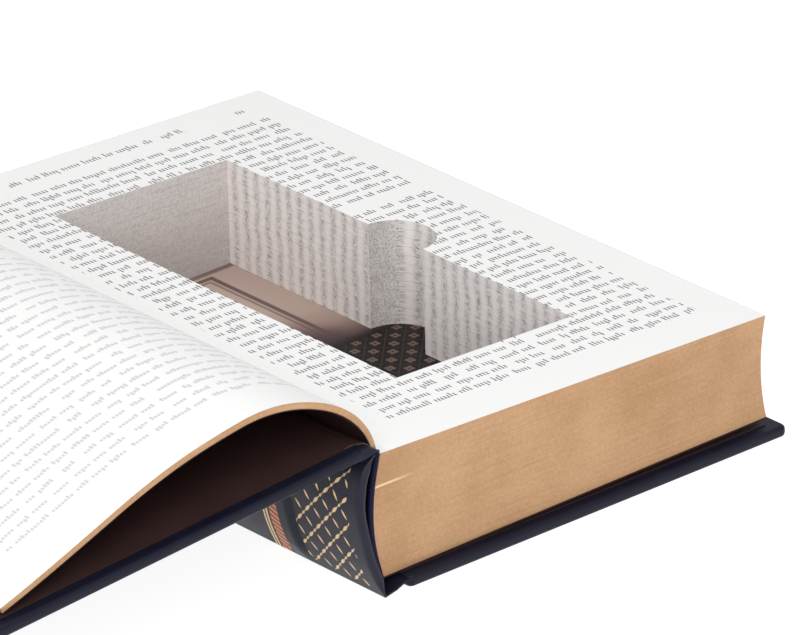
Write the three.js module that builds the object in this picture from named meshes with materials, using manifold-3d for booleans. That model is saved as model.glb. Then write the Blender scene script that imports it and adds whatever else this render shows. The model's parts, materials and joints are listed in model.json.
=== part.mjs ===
// Book diversion safe: a leather-bound book whose sewn text block is cut out for a compartment.
// It lies open on its back cover. Millimetres, +X spine to fore-edge, +Y tail to head, +Z up.
// The origin is the middle of the text block's footprint, on the underside of the back cover.

import * as THREE from 'three';
import { mergeVertices } from 'three/addons/utils/BufferGeometryUtils.js';
import Module from 'manifold-3d';

const wasm = await Module();
wasm.setup();

// Text block
const blockWidth = 148;
const blockLength = 226.5;
const blockSpineThickness = 39.4;
const blockForeThickness = 33.4;
const spineRound = 3.4;
const foreHollowDepth = 2;
const sectionCount = 12;
const foldRound = 0.8;
const paperThickness = 0.2;
const paperGap = 0.1;

// Compartment and its thumb notch
const compartmentWidth = 66.9;
const compartmentLength = 154.5;
const compartmentInset = 37.9;
const notchRadius = 12.3;

// Boards and their covering
const boardThickness = 2.1;
const leatherThickness = 0.6;
const seatGap = 0.15;
const squareWidth = 4;
const foreSquare = 5;
const boardSetback = 6.4;
const turnIn = 15;
const boardEdgeRound = 1.2;
const boardCornerRound = 2;

// Back joint: the groove between the spine and the back board
const grooveDepth = 2.2;
const grooveReach = 1.4;
const ridgeInset = 2.4;
const ridgeRise = 1.7;
const ridgeLean = 0.6;

// Spine
const spineStandoff = 11.4;
const spineRise = 2.8;
const inlayThickness = 1.5;
const spineTurnIn = 12;
const spineEdgeRound = 0.5;
const bandCount = 5;
const bandInset = 31;
const bandWidth = 6.5;
const bandHeight = 1.3;
const mullThickness = 0.3;
const mullInset = 12;
const mullGap = 0.2;
const endBandRadius = 1.3;
const endBandOverhang = 0.7;

// Uncut first leaves, bowed over with the front cover
const leavesThickness = 2.3;
const leavesSeat = 0.3;
const leavesOverhang = 0.7;
const stripGap = 0.3;
const coverSeat = 0.3;
const leavesRest = 0.45;

// Front joint
const hingeInset = 0.8;
const hingeDepth = 2.12;
const hingeToBoard = 7.2;
const lipReach = 2.35;
const lipDepth = 0.6;

// Angles in degrees: how far the block rises from the back board towards the fore-edge, and how
// each strip of leaves points from the block's base with the book open
const blockTilt = 0.7;
const stripAngles = [110, 142, 165, 186, 196, 200];
const stripLengthShares = [0.055, 0.145, 0.1, 0.2, 0.16, 0.34];

// Where the back joint bends between its ridge and its groove: shares of their distance and depth
const grooveBendShares = [0.6, 0.45];

// Where the front joint's lip bends: shares of its reach and of its rise, from its free end
const lipBendShares = [[0.32, 0.81], [0.62, 1]];

// Outline of the spine, from the back joint up: shares of its height and of its standoff
const spineOutlineShares = [
  [0.15, 0.526], [0.315, 0.763], [0.6, 1], [0.765, 0.982], [0.88, 0.87], [0.955, 0.67], [1, 0.46],
];

// Numbers of facets
const curveSteps = 16;
const notchSteps = 14;
const roundSteps = 3;
const bandSteps = 6;
const endBandSides = 8;

// How many steps of its curve a layer stops short of the spine's ends, and of the block's
const spineMargin = 2;
const blockSpineMargin = 1;

// Sizes worked out from the ones above
const degree = Math.PI / 180;
const coverThickness = 2 * leatherThickness + 2 * seatGap + boardThickness;
const coverLength = blockLength + 2 * squareWidth;
const boardWidth = blockWidth + foreSquare - boardSetback;
const paperPitch = paperThickness + paperGap;
const blockBottom = coverThickness + paperPitch;
const sectionsBottom = blockBottom + 2 * paperPitch + paperGap;
const spineEdge = -blockWidth / 2;
const blockSlope = (blockSpineThickness - blockForeThickness) / blockWidth;
const wedgeAngle = Math.atan(blockSlope);
const spineHeight = blockBottom + blockSpineThickness + spineRise;
const bandPitch = (blockLength - 2 * bandInset) / (bandCount - 1);

const colours = {
  leather: 0x17182a,
  board: 0x8f8a80,
  endpaper: 0x3a2024,
  page: 0xf1efe9,
  plate: 0x6b4334,
  cloth: 0xd8d2c2,
  endBand: 0x1c2a7a,
};

function material(colour, roughness, metalness = 0) {
  return new THREE.MeshStandardMaterial({ color: colour, roughness, metalness });
}

const leather = () => material(colours.leather, 0.5);
const board = () => material(colours.board, 0.9);
const endpaper = () => material(colours.endpaper, 0.75);
const pages = () => material(colours.page, 0.8);
const plateInk = () => material(colours.plate, 0.6);
const cloth = () => material(colours.cloth, 0.9);
const endBandCloth = () => material(colours.endBand, 0.7);

function toSolid(geometry) {
  const bare = geometry.clone();
  bare.deleteAttribute('normal');
  bare.deleteAttribute('uv');
  const merged = mergeVertices(bare);
  return new wasm.Manifold(new wasm.Mesh({
    numProp: 3,
    vertProperties: merged.attributes.position.array,
    triVerts: merged.index.array,
  }));
}

function toGeometry(solid) {
  const mesh = solid.getMesh();
  const geometry = new THREE.BufferGeometry();
  geometry.setAttribute('position', new THREE.BufferAttribute(mesh.vertProperties, 3));
  geometry.setIndex(new THREE.BufferAttribute(mesh.triVerts, 1));
  geometry.computeVertexNormals();
  return geometry;
}

function named(name, geometry, finish) {
  const mesh = new THREE.Mesh(geometry, finish);
  mesh.name = name;
  return mesh;
}

// A box given by its lowest and highest corners
function block(low, high) {
  const size = high.map((value, axis) => value - low[axis]);
  const middle = high.map((value, axis) => (value + low[axis]) / 2);
  return new THREE.BoxGeometry(...size).translate(...middle);
}

// An outline in X and Z, drawn out along Y and centred on it
function extrudeAlongY(outline, length) {
  const shape = new THREE.Shape(outline.map(([x, z]) => new THREE.Vector2(x, z)));
  const geometry = new THREE.ExtrudeGeometry(shape, { depth: length, bevelEnabled: false });
  return geometry.rotateX(Math.PI / 2).translate(0, length / 2, 0);
}

// A rectangle with rounded corners, as a shape in X and Y
function roundedRectangle(left, right, halfLength, radius) {
  const shape = new THREE.Shape();
  shape.absarc(right - radius, halfLength - radius, radius, 0, Math.PI / 2);
  shape.absarc(left + radius, halfLength - radius, radius, Math.PI / 2, Math.PI);
  shape.absarc(left + radius, radius - halfLength, radius, Math.PI, 1.5 * Math.PI);
  shape.absarc(right - radius, radius - halfLength, radius, 1.5 * Math.PI, 2 * Math.PI);
  return shape;
}

function slab(shape, bottom, thickness) {
  const options = { depth: thickness, bevelEnabled: false, curveSegments: roundSteps };
  return new THREE.ExtrudeGeometry(shape, options).translate(0, 0, bottom);
}

// The points of a curve with their normals: outwards, on a curve that runs up the spine side
function stationsOf(points) {
  return points.map((point, index) => {
    const before = points[Math.max(index - 1, 0)];
    const after = points[Math.min(index + 1, points.length - 1)];
    const tangent = after.clone().sub(before).normalize();
    const normal = new THREE.Vector2(-tangent.y, tangent.x);
    return { point, normal, share: index / (points.length - 1) };
  });
}

// A strip of even thickness along a path in X and Z, on the side that its normals point to
function ribbon(path, thickness) {
  const stations = stationsOf(path.map(([x, z]) => new THREE.Vector2(x, z)));
  const far = stations.map(({ point, normal }) => [
    point.x + normal.x * thickness,
    point.y + normal.y * thickness,
  ]);
  return [...path, ...far.reverse()];
}

// Sweeps a section, given in Y and in distance outwards from the curve, along a curve in X and Z
function sweep(stations, sectionAt) {
  const rings = stations.map(({ point, normal, share }) => {
    const section = sectionAt(share);
    return section.map(([y, out]) => [point.x + normal.x * out, y, point.y + normal.y * out]);
  });
  const sides = rings[0].length;
  const indices = [];
  for (let ring = 0; ring < rings.length - 1; ring += 1) {
    for (let side = 0; side < sides; side += 1) {
      const a = ring * sides + side;
      const b = ring * sides + ((side + 1) % sides);
      indices.push(a, a + sides, b, b, a + sides, b + sides);
    }
  }
  const contour = sectionAt(stations[0].share).map(([y, out]) => new THREE.Vector2(y, out));
  const lastRing = (rings.length - 1) * sides;
  for (const [a, b, c] of THREE.ShapeUtils.triangulateShape(contour, [])) {
    indices.push(a, c, b, lastRing + a, lastRing + b, lastRing + c);
  }
  const geometry = new THREE.BufferGeometry();
  geometry.setAttribute('position', new THREE.Float32BufferAttribute(rings.flat(2), 3));
  geometry.setIndex(indices);
  geometry.computeVertexNormals();
  return geometry;
}

// Outline of the rounded spine side of the block: how far it stands out at a share of the height
function roundAt(share) {
  return 4 * share * (1 - share);
}

function blockSpineStations() {
  const bottom = sectionsBottom;
  const height = blockBottom + blockSpineThickness - bottom;
  const points = Array.from({ length: curveSteps + 1 }, (_, index) => {
    const share = index / curveSteps;
    return new THREE.Vector2(spineEdge - spineRound * roundAt(share), bottom + height * share);
  });
  return stationsOf(points).slice(blockSpineMargin, -blockSpineMargin);
}

// One sewn section: its folded edge is rounded, its fore-edge follows the hollow of the block
function sectionOutline(index) {
  const spineHeightOf = blockBottom + blockSpineThickness - sectionsBottom;
  const foreHeightOf = blockBottom + blockForeThickness - sectionsBottom;
  const spineZ = (share) => sectionsBottom + spineHeightOf * share;
  const foreZ = (share) => sectionsBottom + foreHeightOf * share;
  const spineX = (share) => spineEdge - spineRound * roundAt(share);
  const foreX = (share) => blockWidth / 2 - foreHollowDepth * roundAt(share);
  const low = index / sectionCount;
  const high = (index + 1) / sectionCount;
  const outline = [
    [foreX(low), foreZ(low)],
    [foreX(high), foreZ(high) - paperGap],
  ];
  for (let step = 0; step <= roundSteps + 1; step += 1) {
    const along = step / (roundSteps + 1);
    const share = high + (low - high) * along;
    const swell = Math.sqrt(roundAt(along));
    outline.push([spineX(share) + foldRound * (1 - swell), spineZ(share) - paperGap * (1 - along)]);
  }
  return outline;
}

// The cut of the compartment, seen from above: a rectangle with a half-round thumb notch
function compartmentShape() {
  const left = spineEdge + compartmentInset;
  const right = left + compartmentWidth;
  const half = compartmentLength / 2;
  const shape = new THREE.Shape();
  shape.moveTo(left, -half);
  shape.lineTo(right, -half);
  shape.lineTo(right, -notchRadius);
  shape.absarc(right, 0, notchRadius, -Math.PI / 2, Math.PI / 2);
  shape.lineTo(right, half);
  shape.lineTo(left, half);
  return shape;
}

function sections() {
  const options = { depth: blockSpineThickness, bevelEnabled: false, curveSegments: notchSteps };
  const cut = new THREE.ExtrudeGeometry(compartmentShape(), options).translate(0, 0, blockBottom);
  const cutter = toSolid(cut);
  return Array.from({ length: sectionCount }, (_, index) => {
    const leaves = toSolid(extrudeAlongY(sectionOutline(index), blockLength));
    return named(`section_${index + 1}`, toGeometry(leaves.subtract(cutter)), pages());
  });
}

// A sheet as long as the block, from a place in X to the fore-edge
function sheet(name, left, bottom, finish) {
  const low = [left, -blockLength / 2, bottom];
  const high = [blockWidth / 2, blockLength / 2, bottom + paperThickness];
  return named(name, block(low, high), finish);
}

// The leather round a board: skin below, rounded edges, and flaps turned in over three edges.
// Local frame: X from the hinge side, Z from the outer face.
function boardCovering(left, joint) {
  const right = left + boardWidth;
  const half = coverLength / 2;
  const round = boardEdgeRound;
  const outline = roundedRectangle(left + round, right - round, half - round, boardCornerRound - round);
  const options = {
    depth: coverThickness - 2 * round,
    bevelThickness: round,
    bevelSize: round,
    bevelSegments: roundSteps,
    curveSegments: roundSteps,
  };
  const skin = toSolid(new THREE.ExtrudeGeometry(outline, options).translate(0, 0, round));
  const wall = leatherThickness;
  const inner = roundedRectangle(left + wall, right - wall, half - wall, boardCornerRound - wall);
  const hollow = slab(inner, wall, coverThickness - 2 * wall);
  const window = block(
    [left + round + wall, turnIn - half, coverThickness - 2 * wall],
    [right - turnIn, half - turnIn, coverThickness + wall],
  );
  const jointStrip = toSolid(extrudeAlongY(joint, coverLength - 2 * spineEdgeRound));
  return toGeometry(skin.add(jointStrip).subtract(toSolid(hollow)).subtract(toSolid(window)));
}

function boardCore(left) {
  const inset = leatherThickness + seatGap;
  const half = coverLength / 2 - inset;
  const corner = boardCornerRound - inset;
  const shape = roundedRectangle(left + inset, left + boardWidth - inset, half, corner);
  return slab(shape, inset, boardThickness);
}

// The card that fills the window between the turned-in flaps, level with them
function boardInfill(left) {
  const inset = turnIn + seatGap;
  const low = [
    left + boardEdgeRound + leatherThickness + seatGap,
    inset - coverLength / 2,
    coverThickness - leatherThickness,
  ];
  const high = [left + boardWidth - inset, coverLength / 2 - inset, coverThickness];
  return block(low, high);
}

// The groove of the back joint, from under the board's edge to the ridge beside the spine
function backJointOutline(left) {
  const ridge = spineEdge - ridgeInset;
  const groove = left - grooveReach;
  return ribbon([
    [ridge - ridgeLean, ridgeRise],
    [ridge, 0],
    [ridge + (groove - ridge) * grooveBendShares[0], grooveDepth * grooveBendShares[1]],
    [groove, grooveDepth],
    [left + leatherThickness, grooveDepth],
  ], leatherThickness);
}

// The lip of leather that the front joint bends from: it runs from the groove to the spine's edge
function frontJointOutline(left) {
  const bends = lipBendShares.map(([reach, rise]) => [
    left - lipReach * (1 - reach),
    lipDepth + (grooveDepth - lipDepth) * rise,
  ]);
  return ribbon([
    [left - lipReach, lipDepth],
    ...bends,
    [left + leatherThickness, grooveDepth],
  ], leatherThickness);
}

function backCover() {
  const left = spineEdge + boardSetback;
  const parts = new THREE.Group();
  parts.add(
    named('back_board', boardCore(left), board()),
    named('back_infill_card', boardInfill(left), board()),
    named('back_cover_leather', boardCovering(left, backJointOutline(left)), leather()),
    sheet('back_pastedown', left, coverThickness + paperGap, endpaper()),
  );
  return parts;
}

// The two sheets under the cut sections: the endpaper's free leaf, and the printed floor on it
function baseSheets() {
  return [
    sheet('back_flyleaf', spineEdge, blockBottom + paperGap, endpaper()),
    sheet('compartment_floor_plate', spineEdge, blockBottom + paperGap + paperPitch, plateInk()),
  ];
}

// Where the front joint turns, worked out so that the shut cover lies on the leaves
const hingeX = spineEdge - hingeInset;
const shutStack = blockSpineThickness + hingeInset * blockSlope
  + (leavesSeat + leavesThickness + coverSeat + coverThickness + paperPitch - hingeDepth) / Math.cos(wedgeAngle);
const hingeZ = blockBottom + shutStack;

// Where the underside of the bowed leaves ends, at their free edge
function leavesTip() {
  const tip = new THREE.Vector2(
    spineEdge - leavesOverhang,
    blockBottom + blockSpineThickness + leavesSeat,
  );
  stripAngles.forEach((angle, index) => {
    const along = new THREE.Vector2(Math.cos(angle * degree), Math.sin(angle * degree));
    const under = new THREE.Vector2(-along.y, along.x);
    if (index === 0) tip.addScaledVector(under, leavesThickness);
    tip.addScaledVector(along, stripLengthShares[index] * blockWidth);
  });
  return tip;
}

// How far the open cover droops: just so far that the leaves' free edge lies on it
function coverDroop() {
  const reach = leavesTip().sub(new THREE.Vector2(hingeX, hingeZ));
  const rise = coverThickness + paperPitch - hingeDepth + leavesRest;
  return Math.atan2(-reach.y, -reach.x) + Math.asin(rise / reach.length());
}

function frontCover() {
  const left = hingeToBoard;
  const pastedown = block(
    [left, -blockLength / 2, coverThickness + paperGap],
    [left + boardWidth - foreSquare, blockLength / 2, coverThickness + paperPitch],
  );
  const turned = new THREE.Group();
  turned.rotation.z = Math.PI;
  turned.position.z = -hingeDepth;
  turned.add(
    named('front_board', boardCore(left), board()),
    named('front_infill_card', boardInfill(left), board()),
    named('front_cover_leather', boardCovering(left, frontJointOutline(left)), leather()),
    named('front_pastedown', pastedown, endpaper()),
  );
  const cover = new THREE.Group();
  cover.position.set(hingeX, 0, hingeZ);
  cover.rotation.y = -coverDroop();
  cover.add(turned);
  return cover;
}

// The uncut leaves and the flyleaf glued to them, as strips that fold flat on one another's edges
function firstLeaves() {
  const half = blockLength / 2;
  const root = new THREE.Group();
  root.position.set(spineEdge - leavesOverhang, 0, blockBottom + blockSpineThickness + leavesSeat);
  let carrier = root;
  let direction = 0;
  let bottom = 0;
  let length = 0;
  stripLengthShares.forEach((share, index) => {
    const pivot = new THREE.Group();
    pivot.position.set(length, 0, bottom + (index > 0 ? leavesThickness : 0));
    pivot.rotation.y = -(stripAngles[index] - direction) * degree;
    bottom = index > 0 ? -leavesThickness : 0;
    length = share * blockWidth;
    const left = stripGap / 2;
    const right = length - stripGap / 2;
    const split = bottom + leavesThickness - paperThickness;
    const leaves = block([left, -half, bottom], [right, half, split - paperGap]);
    const flyleaf = block([left, -half, split], [right, half, split + paperThickness]);
    pivot.add(named(`first_leaves_strip_${index + 1}`, leaves, pages()));
    pivot.add(named(`front_flyleaf_strip_${index + 1}`, flyleaf, endpaper()));
    carrier.add(pivot);
    carrier = pivot;
    direction = stripAngles[index];
  });
  return root;
}

// Spine

function spineStations() {
  const start = new THREE.Vector2(spineEdge - ridgeInset - ridgeLean, ridgeRise + stripGap);
  const places = spineOutlineShares.map(([up, out]) => new THREE.Vector2(
    spineEdge - spineStandoff * out,
    spineHeight * up,
  ));
  return stationsOf(new THREE.SplineCurve([start, ...places]).getSpacedPoints(curveSteps));
}

// How far a raised band stands up across its width, and how it dies away towards the joints
const bandShape = (across) => Math.sqrt(Math.max(0, 1 - across * across));
const bandFade = (along) => Math.min(1, 2 * roundAt(along));

function bandCentres() {
  return Array.from({ length: bandCount }, (_, index) => bandInset - blockLength / 2 + index * bandPitch);
}

// The line of the covering over the bands, from tail to head, at a distance from the spine's curve
function coveringLine(offset, halfLength, spread, fade) {
  const line = [[-halfLength, offset]];
  for (const centre of bandCentres()) {
    for (let step = 0; step <= bandSteps; step += 1) {
      const across = 2 * step / bandSteps - 1;
      const out = offset + bandHeight * bandShape(across) * fade;
      line.push([centre + across * (bandWidth / 2 + spread), out]);
    }
  }
  line.push([halfLength, offset]);
  return line;
}

const spineWrap = 2 * leatherThickness + 2 * seatGap + inlayThickness;

function spineSkin() {
  const end = coverLength / 2;
  const round = spineEdgeRound;
  const section = (along) => {
    const fade = bandFade(along);
    return [
      ...coveringLine(0, end - round, leatherThickness, fade),
      [end, -round],
      [end, -leatherThickness],
      ...coveringLine(-leatherThickness, end - leatherThickness, 0, fade).reverse(),
      [-end, -leatherThickness],
      [-end, -round],
    ];
  };
  return toSolid(sweep(spineStations(), section));
}

// The flap of spine leather turned in round the inlay at one end; side is 1 at the head, -1 at the tail
function spineFlap(side) {
  const end = coverLength / 2;
  const wall = leatherThickness;
  const outline = [
    [end, -wall / 2],
    [end, spineEdgeRound - spineWrap],
    [end - spineEdgeRound, -spineWrap],
    [end - spineTurnIn, -spineWrap],
    [end - spineTurnIn, wall - spineWrap],
    [end - wall, wall - spineWrap],
    [end - wall, -wall / 2],
  ].map(([y, out]) => [side * y, out]);
  const section = side > 0 ? outline : outline.reverse();
  return toSolid(sweep(coredStations(), () => section));
}

// The stretch of the spine that the inlay stiffens
function coredStations() {
  return spineStations().slice(spineMargin, -spineMargin);
}

function spineLeather() {
  const leatherBody = spineSkin().add(spineFlap(1)).add(spineFlap(-1));
  return named('spine_leather', toGeometry(leatherBody), leather());
}

function spineInlay() {
  const half = coverLength / 2 - leatherThickness - seatGap;
  const outer = -leatherThickness - seatGap;
  const section = () => [
    [-half, outer],
    [half, outer],
    [half, outer - inlayThickness],
    [-half, outer - inlayThickness],
  ];
  return named('spine_inlay', sweep(coredStations(), section), board());
}

// A raised band: a strip with a rounded top, laid round the inlay under the leather
function raisedBand(centre, index) {
  const seat = -leatherThickness - seatGap;
  const half = bandWidth / 2 - seatGap;
  const section = (along) => {
    const line = [[centre - half, seat]];
    for (let step = 0; step <= bandSteps; step += 1) {
      const across = 2 * step / bandSteps - 1;
      line.push([centre + across * half, seat + seatGap / 2 + bandHeight * bandShape(across) * bandFade(along)]);
    }
    return [...line, [centre + half, seat]];
  };
  return named(`raised_band_${index + 1}`, sweep(coredStations(), section), board());
}

function mull() {
  const half = blockLength / 2 - mullInset;
  const section = () => [
    [-half, mullGap + mullThickness],
    [half, mullGap + mullThickness],
    [half, mullGap],
    [-half, mullGap],
  ];
  return named('mull', sweep(blockSpineStations(), section), cloth());
}

// The rolled band at one end of the block's spine; the side is 1 at the head and -1 at the tail
function endBand(name, side) {
  const middle = side * (blockLength / 2 + endBandOverhang - endBandRadius);
  const section = (along) => Array.from({ length: endBandSides }, (_, index) => {
    const turn = -2 * Math.PI * index / endBandSides;
    const radius = endBandRadius * (1 + roundAt(along)) / 2;
    return [middle + radius * Math.cos(turn), mullGap + radius * (1 + Math.sin(turn))];
  });
  return named(name, sweep(blockSpineStations(), section), endBandCloth());
}

// Everything that is bound to the block, in the block's own frame
function boundParts() {
  const frame = new THREE.Group();
  frame.position.set(-spineEdge, 0, -blockBottom);
  frame.add(
    ...baseSheets(),
    ...sections(),
    mull(),
    endBand('head_band', 1),
    endBand('tail_band', -1),
    spineLeather(),
    spineInlay(),
    ...bandCentres().map(raisedBand),
    firstLeaves(),
    frontCover(),
  );
  const tilted = new THREE.Group();
  tilted.position.set(spineEdge, 0, blockBottom);
  tilted.rotation.y = -blockTilt * degree;
  tilted.add(frame);
  return tilted;
}

const book = new THREE.Group();
book.add(backCover(), boundParts());

export default book;
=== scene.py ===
"""Looks of a leather-bound book diversion safe that lies open: leather, gilding, paper and joint.

All is in metres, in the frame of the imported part: +X from spine to fore-edge, +Y from tail to
head, +Z up. Profiles across the book are in the text block's own frame, x from its spine edge
and z from its foot. Their bare lists of points are in millimetres, and are scaled by MM.
"""

import json
import logging
import math
from collections.abc import Callable
from dataclasses import dataclass
from enum import Enum
from functools import reduce

import bpy
import numpy as np
from mathutils import Matrix, Vector

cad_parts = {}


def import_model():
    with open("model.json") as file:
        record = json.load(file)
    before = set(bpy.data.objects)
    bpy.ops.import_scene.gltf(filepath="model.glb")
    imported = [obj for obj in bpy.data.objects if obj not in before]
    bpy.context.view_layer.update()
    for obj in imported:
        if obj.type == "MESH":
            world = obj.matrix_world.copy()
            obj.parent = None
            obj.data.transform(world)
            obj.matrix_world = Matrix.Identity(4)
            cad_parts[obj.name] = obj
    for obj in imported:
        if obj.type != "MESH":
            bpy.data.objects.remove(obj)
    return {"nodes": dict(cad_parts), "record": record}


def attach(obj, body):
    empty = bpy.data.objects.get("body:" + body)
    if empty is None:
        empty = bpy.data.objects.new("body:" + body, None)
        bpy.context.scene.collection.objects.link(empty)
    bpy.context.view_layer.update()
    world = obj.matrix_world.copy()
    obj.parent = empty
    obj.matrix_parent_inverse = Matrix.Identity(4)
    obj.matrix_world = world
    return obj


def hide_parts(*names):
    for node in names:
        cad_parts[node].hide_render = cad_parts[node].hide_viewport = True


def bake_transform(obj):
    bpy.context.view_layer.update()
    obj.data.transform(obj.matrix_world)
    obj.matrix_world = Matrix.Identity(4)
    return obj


log = logging.getLogger("book_safe")
MM = 0.001
DEGREE = math.pi / 180

# The text block: its size, and how its own frame lies in the part's frame
BLOCK_WIDTH = 148 * MM
BLOCK_HALF_WIDTH = 74 * MM
BLOCK_LENGTH = 226.5 * MM
BLOCK_HALF = 113.25 * MM
BLOCK_X, BLOCK_Z = -0.074, 0.0039
LEAN = 0.7 * DEGREE
SPINE_ROUND = 3.4 * MM
LEATHER = 0.6 * MM

SHARP_ANGLE = 35 * DEGREE
CURVE_STEPS = 24

Point = tuple[float, float]
Spot = tuple[float, float, float]
Colour = tuple[float, float, float]
Section = Callable[[float, float], list[Point]]


class Body(Enum):
    """The bodies that pieces ride on."""

    BLOCK = "root"
    COVER = "front_cover"
    LEAVES_1 = "leaves_1"
    LEAVES_2 = "leaves_2"
    LEAVES_3 = "leaves_3"
    LEAVES_4 = "leaves_4"
    LEAVES_5 = "leaves_5"
    LEAVES_6 = "leaves_6"


class Field:
    """A value that varies over a surface: the output socket of a node."""

    def __init__(self, shader: "Shader", socket: bpy.types.NodeSocket) -> None:
        """Wraps a socket of one of the shader's nodes."""
        self.shader = shader
        self.socket = socket

    def __add__(self, other: "Number") -> "Field":
        """Sum."""
        return self.shader.math("ADD", self, other)

    def __radd__(self, other: "Number") -> "Field":
        """Sum, reflected."""
        return self.shader.math("ADD", other, self)

    def __sub__(self, other: "Number") -> "Field":
        """Difference."""
        return self.shader.math("SUBTRACT", self, other)

    def __rsub__(self, other: "Number") -> "Field":
        """Difference, reflected."""
        return self.shader.math("SUBTRACT", other, self)

    def __mul__(self, other: "Number") -> "Field":
        """Product."""
        return self.shader.math("MULTIPLY", self, other)

    def __rmul__(self, other: "Number") -> "Field":
        """Product, reflected."""
        return self.shader.math("MULTIPLY", other, self)

    def __truediv__(self, other: "Number") -> "Field":
        """Quotient."""
        return self.shader.math("DIVIDE", self, other)

    def __gt__(self, other: "Number") -> "Field":
        """1 where this is greater, else 0."""
        return self.shader.math("GREATER_THAN", self, other)

    def __lt__(self, other: "Number") -> "Field":
        """1 where this is less, else 0."""
        return self.shader.math("LESS_THAN", self, other)

    def __abs__(self) -> "Field":
        """Absolute value."""
        return self.shader.math("ABSOLUTE", self)

    def whole(self) -> "Field":
        """The nearest whole number."""
        return self.shader.math("ROUND", self)

    def off_whole(self) -> "Field":
        """How far this is from the nearest whole number."""
        return abs(self - self.whole())

    def floor(self) -> "Field":
        """The whole number below."""
        return self.shader.math("FLOOR", self)

    def root(self) -> "Field":
        """Square root."""
        return self.shader.math("SQRT", self)

    def sine(self) -> "Field":
        """Sine of this angle."""
        return self.shader.math("SINE", self)

    def most(self, *others: "Number") -> "Field":
        """The greatest of this and others."""
        return reduce(lambda one, two: self.shader.math("MAXIMUM", one, two), others, self)

    def least(self, other: "Number") -> "Field":
        """The smaller of this and another."""
        return self.shader.math("MINIMUM", self, other)

    def step(self, low: "Number", high: "Number") -> "Field":
        """Rises smoothly from 0 to 1 as this goes from low to high."""
        inputs = {0: self, 1: low, 2: high, 3: 0.0, 4: 1.0}
        return self.shader.node("MapRange", {"interpolation_type": "SMOOTHSTEP"}, inputs)

    def fall(self, low: "Number", high: "Number") -> "Field":
        """Falls smoothly from 1 to 0 as this goes from low to high."""
        return 1 - self.step(low, high)


Number = Field | float


class Shader:
    """Builds one material around a Principled BSDF."""

    def __init__(self, name: str, roughness: float, **constants: float | Colour) -> None:
        """Makes the material.

        Args:
            name: The material's name.
            roughness: The surface's roughness where nothing is linked to it.
            constants: Other settings of the Principled BSDF, with _ for a space in their names.
        """
        self.material = bpy.data.materials.new(name)
        self.material.use_nodes = True
        self.tree = self.material.node_tree
        self.surface = self.tree.nodes["Principled BSDF"]
        self.surface.inputs["Roughness"].default_value = roughness
        for key, value in constants.items():
            socket = self.surface.inputs[key.replace("_", " ")]
            socket.default_value = (*value, 1.0) if isinstance(value, tuple) else value

    def node(self, kind: str, settings: dict | None = None, inputs: dict | None = None,
             output: int | str = 0) -> Field:
        """Adds a node.

        Args:
            kind: The node's type, without its ShaderNode prefix.
            settings: Its properties, which are set first.
            inputs: Values or fields for its input sockets, by name or number.
            output: The output socket to give back.

        Returns:
            The field at that output socket.
        """
        made = self.tree.nodes.new(f"ShaderNode{kind}")
        for key, value in (settings or {}).items():
            setattr(made, key, value)
        for key, value in (inputs or {}).items():
            if isinstance(value, Field):
                self.tree.links.new(value.socket, made.inputs[key])
            else:
                made.inputs[key].default_value = value
        return Field(self, made.outputs[output])

    def math(self, operation: str, *values: Number) -> Field:
        """Adds a Math node on one, two or three values."""
        return self.node("Math", {"operation": operation}, dict(enumerate(values)))

    def blend(self, factor: Number, first: "Field | Colour", second: "Field | Colour") -> Field:
        """Mixes two colours by a factor."""
        inputs = {0: factor, 6: self._paint(first), 7: self._paint(second)}
        return self.node("Mix", {"data_type": "RGBA"}, inputs, 2)

    def _paint(self, colour: "Field | Colour") -> "Field | tuple[float, ...]":
        """A colour in the form that a socket takes."""
        return colour if isinstance(colour, Field) else (*colour, 1.0)

    def place(self) -> Field:
        """The point on the piece itself, in metres, which stays with it when it moves."""
        return self.node("TexCoord", None, None, "Object")

    def facing(self) -> Field:
        """The surface's true normal."""
        return self.node("NewGeometry", None, None, "Normal")

    def attribute(self, name: str) -> Field:
        """A vector that the mesh carries at its corners or points."""
        return self.node("Attribute", {"attribute_name": name}, None, "Vector")

    def split(self, vector: Field) -> tuple[Field, Field, Field]:
        """The three parts of a vector."""
        node = self.node("SeparateXYZ", None, {0: vector}).socket.node
        return tuple(Field(self, socket) for socket in node.outputs)

    def join(self, x: Number, y: Number, z: Number = 0.0) -> Field:
        """A vector from its three parts."""
        return self.node("CombineXYZ", None, {0: x, 1: y, 2: z})

    def noise(self, vector: Field, scale: float = 1.0, detail: float = 2.0) -> Field:
        """Smooth noise from 0 to 1."""
        inputs = {"Vector": vector, "Scale": scale, "Detail": detail}
        return self.node("TexNoise", {"noise_dimensions": "3D"}, inputs)

    def cells(self, vector: Field, scale: float) -> Field:
        """Distance to the nearest point of a random cell pattern."""
        return self.node("TexVoronoi", {"feature": "F1"}, {"Vector": vector, "Scale": scale})

    def bump(self, height: Field, distance: float) -> None:
        """Raises the surface by a height field, in metres at a height of 1."""
        inputs = {"Height": height, "Distance": distance, "Strength": 1.0}
        self.set("Normal", self.node("Bump", None, inputs, "Normal"))

    def set(self, socket: str, value: Field) -> None:
        """Feeds a socket of the surface."""
        self.tree.links.new(value.socket, self.surface.inputs[socket])


# Finishes


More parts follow.
